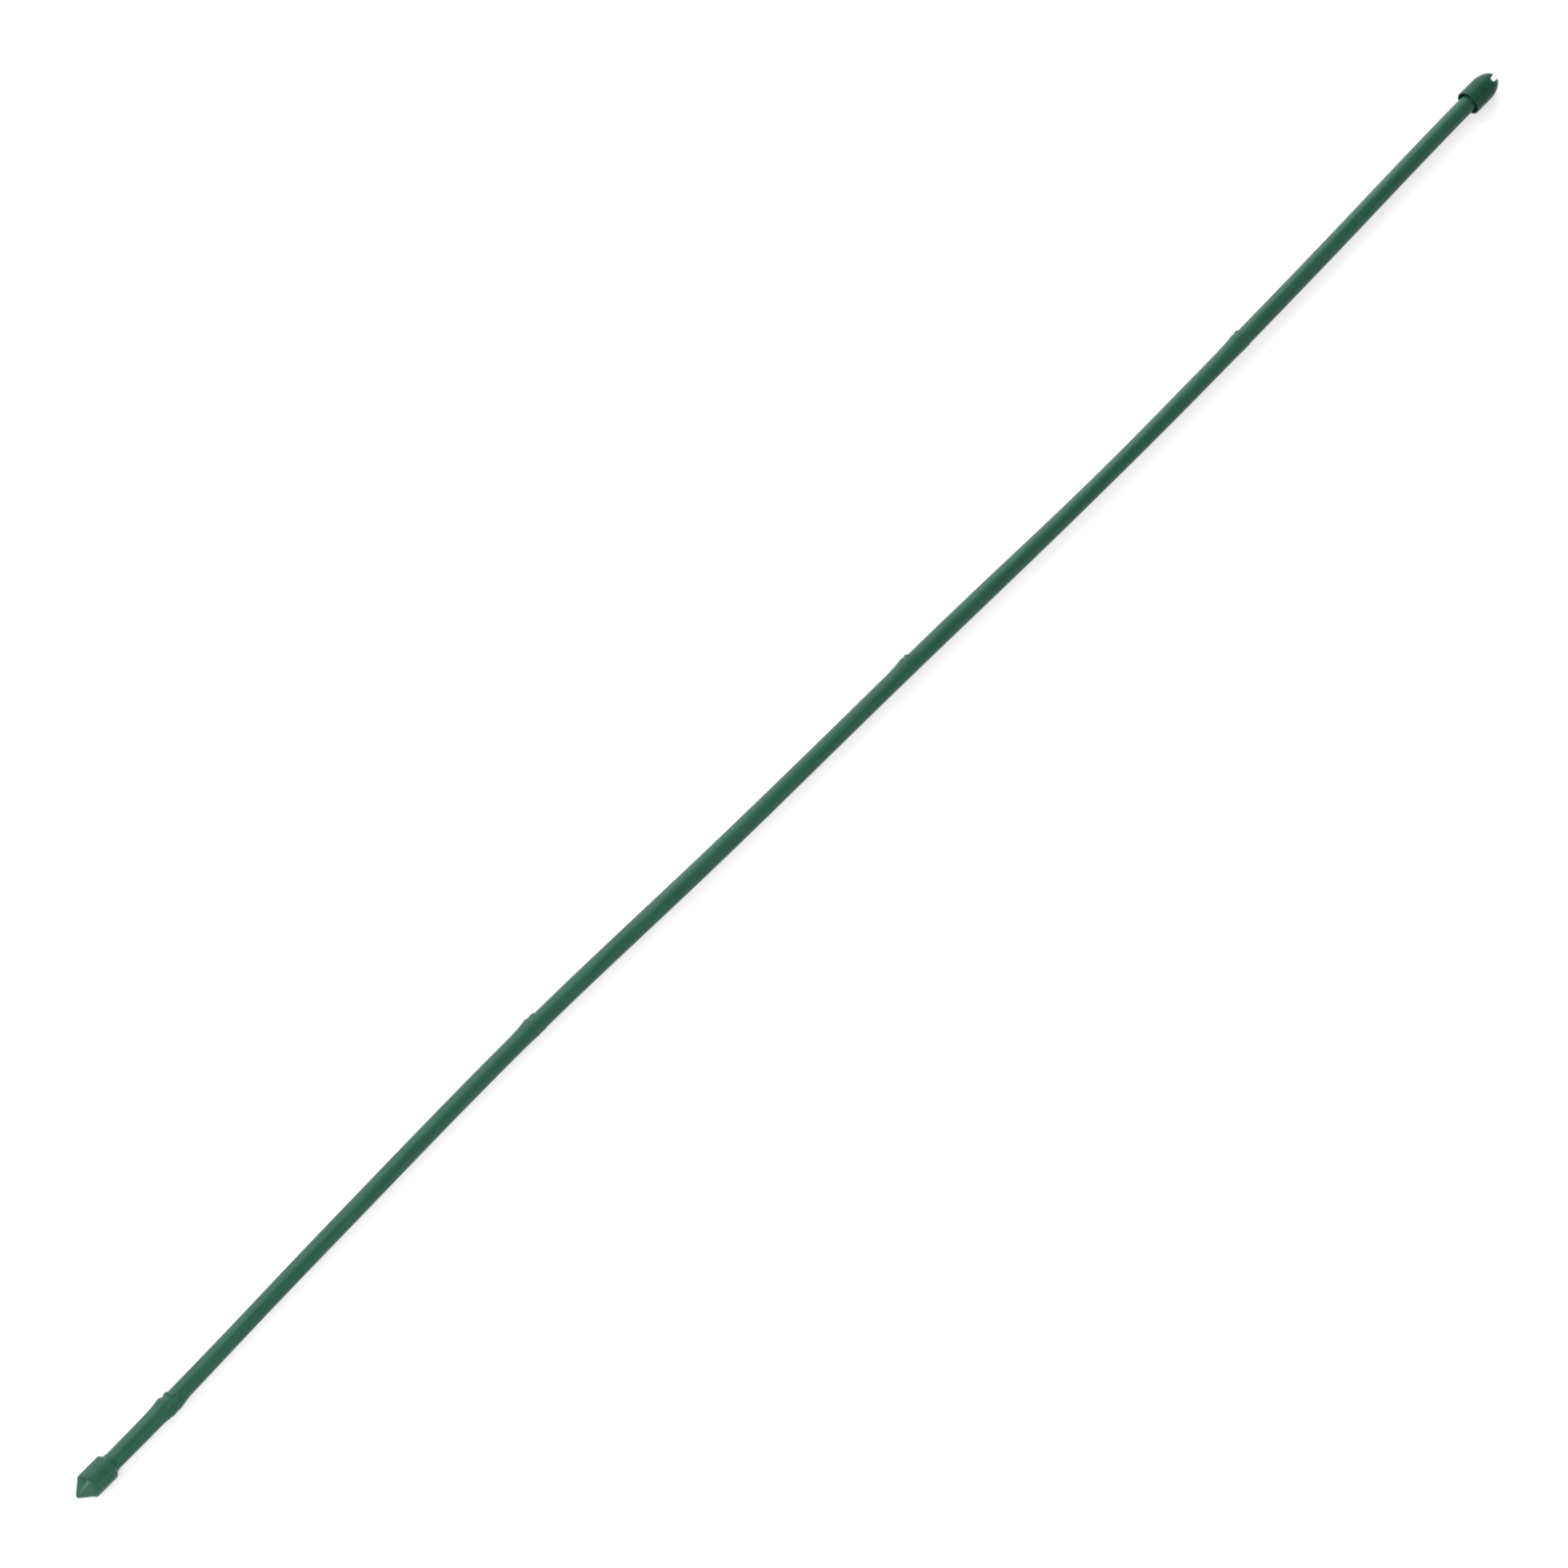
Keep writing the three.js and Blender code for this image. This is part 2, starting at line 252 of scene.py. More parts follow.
class TopSizes(bpy.types.PropertyGroup):
    """Sizes of the notched top cap"""

    length: FloatProperty(
        name="Length", description="Mouth to the crown before the notch is cut",
        default=0.0253, unit="LENGTH")
    dome: FloatProperty(
        name="Dome", description="Length of the domed end", default=0.0129, unit="LENGTH")
    wall: FloatProperty(
        name="Wall", description="Wall at the mouth", default=0.0011, unit="LENGTH")
    rim_round: FloatProperty(
        name="Rim Rounding", description="Rounding of the mouth's rim", default=0.0004, unit="LENGTH")
    roof: FloatProperty(
        name="Roof", description="Stem's seat to the floor of the notch", default=0.0035, unit="LENGTH")
    notch_depth: FloatProperty(
        name="Notch Depth", description="Crown to the floor of the notch", default=0.0072, unit="LENGTH")
    notch_floor: FloatProperty(
        name="Notch Floor", description="Width of the notch along its floor",
        default=0.0026, unit="LENGTH")
    notch_flare: FloatProperty(
        name="Notch Flare", description="Width of the notch at the crown as a share of its floor",
        default=1.38, subtype="FACTOR")
    notch_round: FloatProperty(
        name="Notch Rounding", description="Rounding along the floor of the notch",
        default=0.0006, unit="LENGTH")
    notch_turn: FloatProperty(
        name="Notch Turn", description="Turn of the way that the notch runs",
        default=math.radians(26), subtype="ANGLE")
    edge_round: FloatProperty(
        name="Edge Rounding", description="Rounding of the edges that the notch leaves",
        default=0.00014, unit="LENGTH")
    rib_count: IntProperty(name="Ribs", description="Grip ribs inside the cap", default=6, min=1)
    rib_width: FloatProperty(
        name="Rib Width", description="Width of a grip rib", default=0.0012, unit="LENGTH")
    rib_root: FloatProperty(
        name="Rib Root", description="Depth to which a rib reaches into the wall and the roof",
        default=0.0003, unit="LENGTH")
    rib_setback: FloatProperty(
        name="Rib Setback", description="Mouth to the start of the ribs", default=0.003, unit="LENGTH")
    grip: FloatProperty(
        name="Grip", description="Diameter between the ribs", default=0.0103, unit="LENGTH")
    smooth: FloatProperty(
        name="Smoothing", description="Bend up to which the cap's edges are shaded smooth",
        default=math.radians(38), subtype="ANGLE")


class StakeFinishes(bpy.types.PropertyGroup):
    """Colours and gloss of the stake"""

    coating: FloatVectorProperty(
        name="Coating", description="Green of the drawn coating", size=3, subtype="COLOR", min=0, max=1,
        default=(0.0232, 0.098, 0.0585))
    foot: FloatVectorProperty(
        name="Foot", description="Green of the moulded foot", size=3, subtype="COLOR", min=0, max=1,
        default=(0.0228, 0.098, 0.0585))
    # The top cap's green is darker than the foot's as painted shade, for the weaker light at the top end.
    cap: FloatVectorProperty(
        name="Top Cap", description="Green of the moulded top cap", size=3, subtype="COLOR", min=0, max=1,
        default=(0.0132, 0.068, 0.0385))
    zinc: FloatVectorProperty(
        name="Zinc", description="Zinc on the steel tube", size=3, subtype="COLOR", min=0, max=1,
        default=(0.56, 0.57, 0.58))
    coating_gloss: FloatProperty(
        name="Coating Gloss", description="Specular level of the coating",
        default=0.12, subtype="FACTOR", min=0, max=1)
    foot_gloss: FloatProperty(
        name="Foot Gloss", description="Specular level of the foot",
        default=0.12, subtype="FACTOR", min=0, max=1)
    cap_gloss: FloatProperty(
        name="Cap Gloss", description="Specular level of the top cap",
        default=0.09, subtype="FACTOR", min=0, max=1)


class StageSettings(bpy.types.PropertyGroup):
    """Camera, floor and light"""

    camera_place: FloatVectorProperty(
        name="Camera", description="Place of the camera", size=3, subtype="XYZ", unit="LENGTH",
        default=(-2.124, -1.7053, 3.845))
    camera_target: FloatVectorProperty(
        name="Target", description="Point at the middle of the picture", size=3, subtype="XYZ",
        unit="LENGTH", default=(-0.0335, 0.0017, 0.0080))
    lens: FloatProperty(
        name="Lens", description="Focal length in millimetres on a 36 mm frame",
        default=201.88, unit="CAMERA")
    view_end: FloatProperty(
        name="View End", description="Farthest that the camera sees", default=200, unit="LENGTH")
    floor_size: FloatProperty(name="Floor", description="Width of the floor", default=40, unit="LENGTH")
    floor_white: FloatProperty(
        name="Floor White", description="White around the stake that does not depend on the lamps",
        default=0.64, subtype="FACTOR", min=0, max=1)
    floor_tone: FloatProperty(
        name="Floor Tone", description="Part of the floor's white that the lamps give",
        default=0.48, subtype="FACTOR", min=0, max=1)
    floor_near: FloatProperty(
        name="Floor Near", description="Distance up to which the floor shows the stake's shadow in full",
        default=0.8, unit="LENGTH")
    floor_far: FloatProperty(
        name="Floor Far", description="Distance from which the floor is all white",
        default=1.6, unit="LENGTH")
    ambient: FloatProperty(
        name="Ambient", description="Even light from above", default=0.10, subtype="FACTOR", min=0)
    horizon_low: FloatProperty(
        name="Horizon Low", description="Sine of the elevation up to which the surroundings are white",
        default=0.08, subtype="FACTOR", min=-1, max=1)
    horizon_high: FloatProperty(
        name="Horizon High", description="Sine of the elevation from which only the even light is left",
        default=0.2, subtype="FACTOR", min=-1, max=1)
    light_level: FloatProperty(
        name="Light Level", description="Share of the lamps' power", default=1, subtype="FACTOR", min=0)


def on_axis(place):
    """Point on the caps' common axis."""
    return Vector((TIP + place, 0, AXIS_HEIGHT))


def around(turn):
    """Unit vector across the stem."""
    return Vector((0, -math.sin(turn), math.cos(turn)))


def smooth_through(points, place):
    """Value at a place on a smooth line through (place, value) points that are in order."""
    last = len(points) - 1
    i = next((k for k in range(last) if place <= points[k + 1][0]), last - 1)
    (x0, v0), (x1, v1) = points[i], points[i + 1]

    def slope(k):
        (xa, va), (xb, vb) = points[max(k - 1, 0)], points[min(k + 1, last)]
        return (vb - va) / (xb - xa) * (x1 - x0)

    t = min(max((place - x0) / (x1 - x0), 0), 1)
    rise, fall = slope(i), slope(i + 1)
    step = t * t * (3 - 2 * t)
    return v0 + (v1 - v0) * step + rise * t * (1 - t) ** 2 - fall * t * t * (1 - t)


def stem_line():
    """Sideways places of the bowed stem, as (place, y), from the frame's tube."""
    rings = {}
    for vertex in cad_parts["steel_tube"].data.vertices:
        rings.setdefault(round(vertex.co.x - TIP, RING_DECIMALS), []).append(vertex.co.y)
    return [(place, (min(ys) + max(ys)) / 2) for place, ys in sorted(rings.items())]


STEM_LINE = stem_line()
STEM_START = STEM_LINE[0][0]
STEM_END = STEM_LINE[-1][0]


def stem_centre(place):
    """Centre of the bowed stem at a place."""
    return on_axis(place) + Vector((0, smooth_through(STEM_LINE, place), 0))


def stem_radius(place):
    """Radius of the coated stem at a place, without its nodes."""
    return smooth_through(GIRTHS, place) / 2


def even_steps(start, end, count):
    """Places from start to end in a number of even steps."""
    return [start + (end - start) * i / count for i in range(count + 1)]


def barrel_line(start, end, radius, steps):
    """Even profile points along a plain barrel, after its start."""
    return [(place, radius) for place in even_steps(start, end, steps)[1:]]


def arc(centre, reach, start, end, steps):
    """Profile points on an elliptical arc. Its centre and its reach are given along the axis and out from it,
    and its angles run from along the axis to straight out."""
    along, out = reach
    place, radius = centre
    angles = even_steps(start, end, steps)
    return [(place + along * math.cos(angle), radius + out * math.sin(angle)) for angle in angles]


def rings_on_axis(profile):
    """Rings on the caps' axis from a profile of (place, radius) points."""
    return [(on_axis(place), radius) for place, radius in profile]


def turned_piece(name, rings, sides, solid_start=False):
    """Models a round piece by extruding a circle from ring to ring, each a (centre, radius). It stays in edit
    mode with its last ring selected. A solid start closes the first ring with a face."""
    bpy.ops.object.select_all(action="DESELECT")
    centre, radius = rings[0]
    bpy.ops.mesh.primitive_circle_add(
        vertices=sides, radius=radius, fill_type="NGON" if solid_start else "NOTHING",
        location=centre, rotation=(0, RIGHT_ANGLE, 0))
    piece = bpy.context.object
    piece.name = piece.data.name = name
    bpy.ops.object.transform_apply(location=True, rotation=True, scale=True)
    bpy.ops.object.mode_set(mode="EDIT")
    bpy.ops.mesh.select_mode(type="EDGE")
    bpy.ops.mesh.select_all(action="SELECT")
    for (here, radius), (there, next_radius) in zip(rings, rings[1:]):
        bpy.ops.mesh.extrude_edges_move(TRANSFORM_OT_translate={"value": there - here})
        grow = next_radius / radius
        bpy.ops.transform.resize(value=(1, grow, grow), center_override=there)
    return piece


def block(size, centre):
    """Models a plain block."""
    bpy.ops.object.select_all(action="DESELECT")
    bpy.ops.mesh.primitive_cube_add(size=1, scale=size, location=centre)
    bpy.ops.object.transform_apply(location=True, rotation=True, scale=True)
    return bpy.context.object


def close_mesh():
    """Merges doubles, turns all faces outwards and leaves edit mode."""
    bpy.ops.mesh.select_all(action="SELECT")
    bpy.ops.mesh.remove_doubles(threshold=TINY)
    bpy.ops.mesh.normals_make_consistent(inside=False)
    bpy.ops.object.mode_set(mode="OBJECT")


def make_active(piece):
    """Selects one piece alone and makes it active."""
    bpy.ops.object.select_all(action="DESELECT")
    piece.select_set(True)
    bpy.context.view_layer.objects.active = piece


def apply_modifier(piece, kind, **settings):
    """Adds a modifier with its settings and applies it."""
    modifier = piece.modifiers.new(kind.title(), kind)
    for name, value in settings.items():
        setattr(modifier, name, value)
    make_active(piece)
    bpy.ops.object.modifier_apply(modifier=modifier.name)


def combine(piece, tool, operation):
    """Joins a tool's shape to a piece, or cuts it out, and removes the tool."""
    apply_modifier(piece, "BOOLEAN", object=tool, operation=operation, solver="EXACT")
    bpy.data.objects.remove(tool)


def select_edges(piece, wanted):
    """Enters edit mode with only the wanted edges selected."""
    make_active(piece)
    bpy.ops.object.mode_set(mode="EDIT")
    bpy.ops.mesh.select_mode(type="EDGE")
    bpy.ops.mesh.select_all(action="DESELECT")
    mesh = bmesh.from_edit_mesh(piece.data)
    for edge in mesh.edges:
        edge.select_set(wanted(edge))
    bmesh.update_edit_mesh(piece.data)


def mark_relief(piece):
    """Stores how far each point stands proud of its surroundings, or lies below them, as its relief: 1 on a
    crest that is rounded to about the reach, 0 on a plain surface and -1 in such a groove."""
    shortest_edge = RELIEF_REACH / 8
    mesh = bmesh.new()
    mesh.from_mesh(piece.data)
    mesh.normal_update()
    relief = []
    for vertex in mesh.verts:
        bends = []
        for edge in vertex.link_edges:
            bends.append(edge.calc_face_angle_signed(0) / max(edge.calc_length(), shortest_edge))
        mean_bend = sum(bends) / max(len(bends), 1)
        relief.append(min(max(mean_bend * RELIEF_REACH, -1), 1))
    mesh.free()
    attribute = piece.data.attributes.new("relief", "FLOAT", "POINT")
    attribute.data.foreach_set("value", relief)


def finish_piece(piece, body, node, material, smooth_angle):
    """Smooths a piece, gives it its material, ties it to its body and hides the frame's part of its node."""
    make_active(piece)
    bpy.ops.object.shade_smooth_by_angle(angle=smooth_angle)
    piece.data.materials.clear()
    piece.data.materials.append(material)
    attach(piece, body)
    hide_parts(node)


def face_target(thing, target):
    """Turns a lamp or a camera towards a point."""
    sight = Vector(target) - thing.location
    thing.rotation_euler = sight.to_track_quat("-Z", "Y").to_euler()


class Amount:
    """A number that changes over a surface: a node socket that takes part in sums."""

    def __init__(self, finish, socket):
        self.finish = finish
        self.socket = socket

    def _reckon(self, operation, first, second):
        node = self.finish.node("ShaderNodeMath", {"operation": operation}, {0: first, 1: second})
        return Amount(self.finish, node.outputs[0])

    def __add__(self, other):
        return self._reckon("ADD", self, other)

    def __radd__(self, other):
        return self._reckon("ADD", other, self)

    def __sub__(self, other):
        return self._reckon("SUBTRACT", self, other)

    def __rsub__(self, other):
        return self._reckon("SUBTRACT", other, self)

    def __mul__(self, other):
        return self._reckon("MULTIPLY", self, other)

    def __rmul__(self, other):
        return self._reckon("MULTIPLY", other, self)


class Shading:
    """A node tree that is filled by plain calls."""

    def __init__(self, owner, last):
        owner.use_nodes = True
        self.owner = owner
        self.tree = owner.node_tree
        self.last = self.tree.nodes[last]

    def feed(self, socket, value):
        """Links a value to a socket, or sets a plain one."""
        if isinstance(value, Amount):
            value = value.socket
        if isinstance(value, bpy.types.NodeSocket):
            self.tree.links.new(value, socket)
        else:
            socket.default_value = value

    def node(self, kind, settings, sockets):
        """Adds a node of any kind: its settings first, then the values or links of its sockets."""
        node = self.tree.nodes.new(kind)
        for name, value in settings.items():
            setattr(node, name, value)
        for name, value in sockets.items():
            self.feed(node.inputs[name], value)
        return node

    def set(self, **sockets):
        """Sets or links the last shader's own sockets, named with underscores for spaces."""
        for name, value in sockets.items():
            self.feed(self.last.inputs[name.replace("_", " ")], value)

    def noise(self, scale, detail):
        """Soft noise from 0 to 1 on Object coordinates, with its own waves per metre on each axis."""
        where = self.node("ShaderNodeTexCoord", {}, {}).outputs["Object"]
        where = self.node("ShaderNodeMapping", {}, {"Vector": where, "Scale": scale}).outputs["Vector"]
        sockets = {"Vector": where, "Scale": 1.0, "Detail": detail, "Roughness": 0.55}
        return Amount(self, self.node("ShaderNodeTexNoise", {}, sockets).outputs["Fac"])

    def limit(self, value, low, high, to_low=0.0, to_high=1.0):
        """A value from low to high, spread over a new span and held inside it."""
        sockets = {"Value": value, "From Min": low, "From Max": high, "To Min": to_low, "To Max": to_high}
        node = self.node("ShaderNodeMapRange", {"clamp": True, "interpolation_type": "SMOOTHSTEP"}, sockets)
        return Amount(self, node.outputs["Result"])

    def relief(self):
        """The stored relief of the surface, from -1 to 1."""
        node = self.node("ShaderNodeAttribute", {"attribute_name": "relief"}, {})
        return Amount(self, node.outputs["Fac"])

    def mix(self, share, first, second):
        """A colour between two colours."""
        sockets = {"Factor_Float": share, "A_Color": first, "B_Color": second}
        node = self.node("ShaderNodeMix", {"data_type": "RGBA"}, {})
        for socket in node.inputs:
            if socket.identifier in sockets:
                self.feed(socket, sockets[socket.identifier])
        return next(socket for socket in node.outputs if socket.identifier == "Result_Color")

    def bump(self, height, depth):
        """Normals of a height from 0 to 1 that stands for a depth in metres."""
        sockets = {"Strength": 1.0, "Distance": depth, "Height": height}
        return self.node("ShaderNodeBump", {}, sockets).outputs["Normal"]


def new_finish(name):
    """A new material, ready to be shaded."""
    return Shading(bpy.data.materials.new(name), "Principled BSDF")


def shade(colour, factor):
    """A colour made lighter or darker, as four numbers."""
    return (*(min(1.0, c * factor) for c in colour), 1.0)


def coating_material(colour, gloss):
    """Drawn polyethylene: long streaks, faint clouds, a painted highlight on the crests, painted shade in the
    grooves and a fine skin.
    """
    finish = new_finish("coating_green")
    streaks = finish.noise((14, 2400, 2400), detail=4.0)
    bands = finish.noise((5, 420, 420), detail=2.0)
    clouds = finish.noise((38, 95, 95), detail=4.0)
    skin = finish.noise((900, 1500, 1500), detail=2.0)
    crest = finish.limit(finish.relief(), low=0.12, high=0.9)
    groove = finish.limit(0 - finish.relief(), low=0.12, high=0.9)
    tone = finish.limit(0.45 * streaks + 0.35 * bands + 0.2 * clouds, low=0.34, high=0.66)
    plain = finish.mix(tone, shade(colour, 0.84), shade(colour, 1.18))
    # Crests painted paler as a painted highlight.
    worn = finish.mix(crest * 0.5, plain, shade(colour, 1.7))
    finish.set(
        # Grooves painted darker as painted shade.
        Base_Color=finish.mix(groove * 0.45, worn, shade(colour, 0.55)),
        Roughness=finish.limit(0.6 * streaks + 0.4 * skin, low=0.25, high=0.75, to_low=0.22, to_high=0.32),
        Specular_IOR_Level=gloss,
        IOR=PLASTIC_IOR,
        Normal=finish.bump(0.7 * streaks + 0.3 * skin, depth=0.00002),
    )
    return finish.owner


def moulded_material(name, colour, gloss):
    """Moulded polyethylene: an even satin skin with faint flow clouds, and edges painted paler as a painted
    highlight.
    """
    finish = new_finish(name)
    clouds = finish.noise((160, 220, 220), detail=4.0)
    flow = finish.noise((70, 900, 900), detail=3.0)
    skin = finish.noise((1900, 1900, 1900), detail=2.0)
    crest = finish.limit(finish.relief(), low=0.10, high=0.9)
    tone = finish.limit(0.6 * clouds + 0.4 * flow, low=0.34, high=0.66)
    plain = finish.mix(tone, shade(colour, 0.88), shade(colour, 1.13))
    finish.set(
        # Edges painted paler as a painted highlight.
        Base_Color=finish.mix(crest * 0.5, plain, shade(colour, 1.6)),
        Roughness=finish.limit(0.5 * skin + 0.5 * clouds, low=0.3, high=0.7, to_low=0.25, to_high=0.36),
        Specular_IOR_Level=gloss,
        IOR=PLASTIC_IOR,
        Normal=finish.bump(0.65 * skin + 0.35 * flow, depth=0.00003),
    )
    return finish.owner


def zinc_material(colour):
    """Thin bright zinc on drawn steel: soft spangle and fine lines along the tube."""
    finish = new_finish("zinc_steel")
    spangle = finish.noise((260, 320, 320), detail=1.0)
    lines = finish.noise((9, 3200, 3200), detail=3.0)
    tone = finish.limit(0.6 * spangle + 0.4 * lines, low=0.3, high=0.7)
    finish.set(
        Base_Color=finish.mix(tone, shade(colour, 0.78), shade(colour, 1.12)),
        Metallic=1.0,
        Roughness=finish.limit(0.5 * spangle + 0.5 * lines, low=0.3, high=0.7, to_low=0.30, to_high=0.48),
        Normal=finish.bump(lines, depth=0.00001),
    )
    return finish.owner


def floor_material(settings):
    """Pale floor: white to the camera and in reflections, and all white far away. Near the stake its lit part
    keeps the soft shadow."""
    finish = new_finish("pale_floor")
    path = finish.node("ShaderNodeLightPath", {}, {}).outputs
    seen = Amount(finish, path["Is Camera Ray"]) + Amount(finish, path["Is Glossy Ray"])
    seen = seen + Amount(finish, path["Is Transmission Ray"])
    where = finish.node("ShaderNodeTexCoord", {}, {}).outputs["Object"]
    distance = finish.node("ShaderNodeVectorMath", {"operation": "LENGTH"}, {0: where}).outputs["Value"]
    far = finish.limit(distance, settings.floor_near, settings.floor_far)
    white = finish.mix(far, shade(WHITE, settings.floor_white), shade(WHITE, 1))
    finish.set(
        Base_Color=shade(WHITE, settings.floor_tone),
        Roughness=0.9,
        Specular_IOR_Level=0.0,
        Emission_Color=finish.mix(seen, shade(WHITE, 0), white),
        Emission_Strength=1.0,
    )
    return finish.owner


def sleeve(name, places, outside, bore, sizes):
    """A smooth sleeve along the bowed stem: the outside gives each ring's centre and radius, and the inside
    has one bore. Rings close to the cut ends keep them crisp."""
    ends = {STEM_START, STEM_START + sizes.end_round, STEM_END - sizes.end_round, STEM_END}
    outer = sorted(ends.union(places))
    inner = sorted(ends.union(place for place, _ in STEM_LINE), reverse=True)
    rings = [outside(place) for place in outer]
    rings += [(stem_centre(place), bore) for place in inner]
    # Smoothing draws a ring of few sides in, so each ring starts larger by that share.
    shrink = (2 + math.cos(FULL_TURN / sizes.sides)) / 3
    rings = [(centre, radius / shrink) for centre, radius in rings]
    piece = turned_piece(name, rings + rings[:1], sizes.sides)
    close_mesh()
    apply_modifier(piece, "SUBSURF", levels=SLEEVE_LEVELS, render_levels=SLEEVE_LEVELS)
    return piece


class STAKE_OT_steel_tube(bpy.types.Operator):
    """Model the thin steel tube inside the coating"""

    bl_idname = "stake.steel_tube"
    bl_label = "Steel Tube"

    def execute(self, context):
        sizes = context.scene.stake_stem
        places = [place for place, _ in STEM_LINE]
        bore = TUBE_RADIUS - sizes.tube_wall
        piece = sleeve("stem_tube", places, lambda place: (stem_centre(place), TUBE_RADIUS), bore, sizes)
        zinc = zinc_material(context.scene.stake_finishes.zinc)
        finish_piece(piece, "stem", "steel_tube", zinc, sizes.tube_smooth)
        return {"FINISHED"}


class STAKE_OT_coating(bpy.types.Operator):
    """Model the plastic coating with its cane nodes"""

    bl_idname = "stake.coating"
    bl_label = "Coating"

    def execute(self, context):
        sizes = context.scene.stake_stem
        over_nodes = {}
        for node in NODES:
            for ring in NODE_RINGS:
                over_nodes[self.ring_place(node, ring)] = self.node_ring(node, ring)

        def outside(place):
            return over_nodes.get(place, (stem_centre(place), stem_radius(place)))

        bore = stem_radius(0) - sizes.coating_wall
        places = self.plain_places(sizes.ring_pitch) + list(over_nodes)
        piece = sleeve("stem_coating", places, outside, bore, sizes)
        self.swell_bud(piece, sizes)
        mark_relief(piece)
        finishes = context.scene.stake_finishes
        green = coating_material(finishes.coating, finishes.coating_gloss)
        finish_piece(piece, "stem", "plastic_coating", green, sizes.coating_smooth)
        return {"FINISHED"}

    def ring_place(self, node, ring):
        """Place of one ring over a node."""
        stretch = node.stretch if ring.place > 0 else 1
        return node.place + ring.place * stretch

    def node_ring(self, node, ring):
        """Centre and radius of one ring over a node."""
        height = node.first_ridge * ring.first_ridge
        height += node.groove * ring.groove
        height += node.second_ridge * ring.second_ridge
        place = self.ring_place(node, ring)
        shift = height * (1 - node.far_share) / 2
        radius = stem_radius(place) + height * (1 + node.far_share) / 2
        return stem_centre(place) + around(PROUD_TURN) * shift, radius

    def plain_places(self, pitch):
        """Even places of the rings on the plain stem, at least a quarter of the pitch from the nodes."""
        places = even_steps(STEM_START, STEM_END, math.ceil((STEM_END - STEM_START) / pitch))
        for node in NODES:
            low = self.ring_place(node, NODE_RINGS[0]) - pitch / 4
            high = self.ring_place(node, NODE_RINGS[-1]) + pitch / 4
            places = [place for place in places if not low < place < high]
        return places

    def swell_bud(self, piece, sizes):
        """Raises the bud scar on the first node with weighted displacement of the coating's outside."""
        mid_wall = TUBE_RADIUS + sizes.coating_wall / 2
        for swell in BUD_SWELLS:
            middle = NODES[0].place + swell.place
            turn = math.radians(swell.turn)
            half_spread = math.radians(swell.half_spread)
            group = piece.vertex_groups.new(name="bud")
            for vertex in piece.data.vertices:
                place = vertex.co.x - TIP
                along = (place - middle) / swell.half_length
                if abs(along) > 1:
                    continue
                across = vertex.co - stem_centre(place)
                apart = math.remainder(math.atan2(-across.y, across.z) - turn, FULL_TURN) / half_spread
                near = 1 - along ** 2 - apart ** 2
                if near > 0 and across.length > mid_wall:
                    group.add([vertex.index], near ** swell.falloff, "REPLACE")
            apply_modifier(
                piece, "DISPLACE", vertex_group=group.name, direction="NORMAL", mid_level=0,
                strength=swell.height)
            piece.vertex_groups.remove(piece.vertex_groups["bud"])


class STAKE_OT_foot(bpy.types.Operator):
    """Model the pointed foot"""

    bl_idname = "stake.foot"
    bl_label = "Pointed Foot"

    def execute(self, context):
        sizes = context.scene.stake_foot
        piece = self.barrel(sizes)
        combine(piece, self.point(sizes), "UNION")
        mark_relief(piece)
        finishes = context.scene.stake_finishes
        green = moulded_material("foot_green", finishes.foot, finishes.foot_gloss)
        finish_piece(piece, "foot", "foot_point", green, sizes.smooth)
        return {"FINISHED"}

    def barrel(self, sizes):
        """Turned barrel with a worn base edge, a sloping shoulder, a thin collar and the socket."""
        socket = sizes.bore / 2
        collar = socket + sizes.collar_wall
        edge = (sizes.edge_length, sizes.edge_depth)
        edge_end = POINT_BASE + sizes.edge_length
        edge_radius = CAP_RADIUS - sizes.edge_depth
        corner = sizes.shoulder_round
        slope = sizes.shoulder_slope
        corner_start = POINT_BASE + sizes.barrel - corner
        hollow_end = POINT_BASE + sizes.barrel + sizes.shoulder + corner
        lip = sizes.collar_wall / 2
        profile = [(POINT_BASE, edge_radius - sizes.edge_depth), (POINT_BASE, edge_radius)]
        profile += arc((edge_end, edge_radius), edge, 2 * RIGHT_ANGLE, RIGHT_ANGLE, steps=6)[1:]
        profile += barrel_line(edge_end, corner_start, CAP_RADIUS, steps=5)
        profile += arc((corner_start, CAP_RADIUS - corner), (corner, corner), RIGHT_ANGLE, slope, steps=5)[1:]
        profile += arc(
            (hollow_end, collar + corner), (corner, corner),
            2 * RIGHT_ANGLE + slope, 3 * RIGHT_ANGLE, steps=5)
        profile += arc((FOOT_MOUTH - lip, collar - lip), (lip, lip), RIGHT_ANGLE, -RIGHT_ANGLE, steps=10)
        profile += [(POINT_BASE + sizes.floor, socket)]
        piece = turned_piece("pointed_foot", rings_on_axis(profile), CAP_SIDES, solid_start=True)
        bpy.ops.mesh.edge_face_add()
        close_mesh()
        return piece

    def point(self, sizes):
        """Four-sided point, slightly full, with narrow flats along its ridges."""
        point = turned_piece("point", rings_on_axis(POINT_RINGS), sides=4, solid_start=True)
        bpy.ops.mesh.edge_face_add()
        bpy.ops.mesh.select_all(action="SELECT")
        bpy.ops.transform.rotate(value=-sizes.point_turn, orient_axis="X", center_override=on_axis(0))
        close_mesh()
        select_edges(point, lambda edge: abs(edge.verts[0].co.x - edge.verts[1].co.x) > TINY)
        bpy.ops.mesh.bevel(offset_type="PERCENT", offset_pct=sizes.ridge_flat, segments=1, affect="EDGES")
        bpy.ops.object.mode_set(mode="OBJECT")
        return point


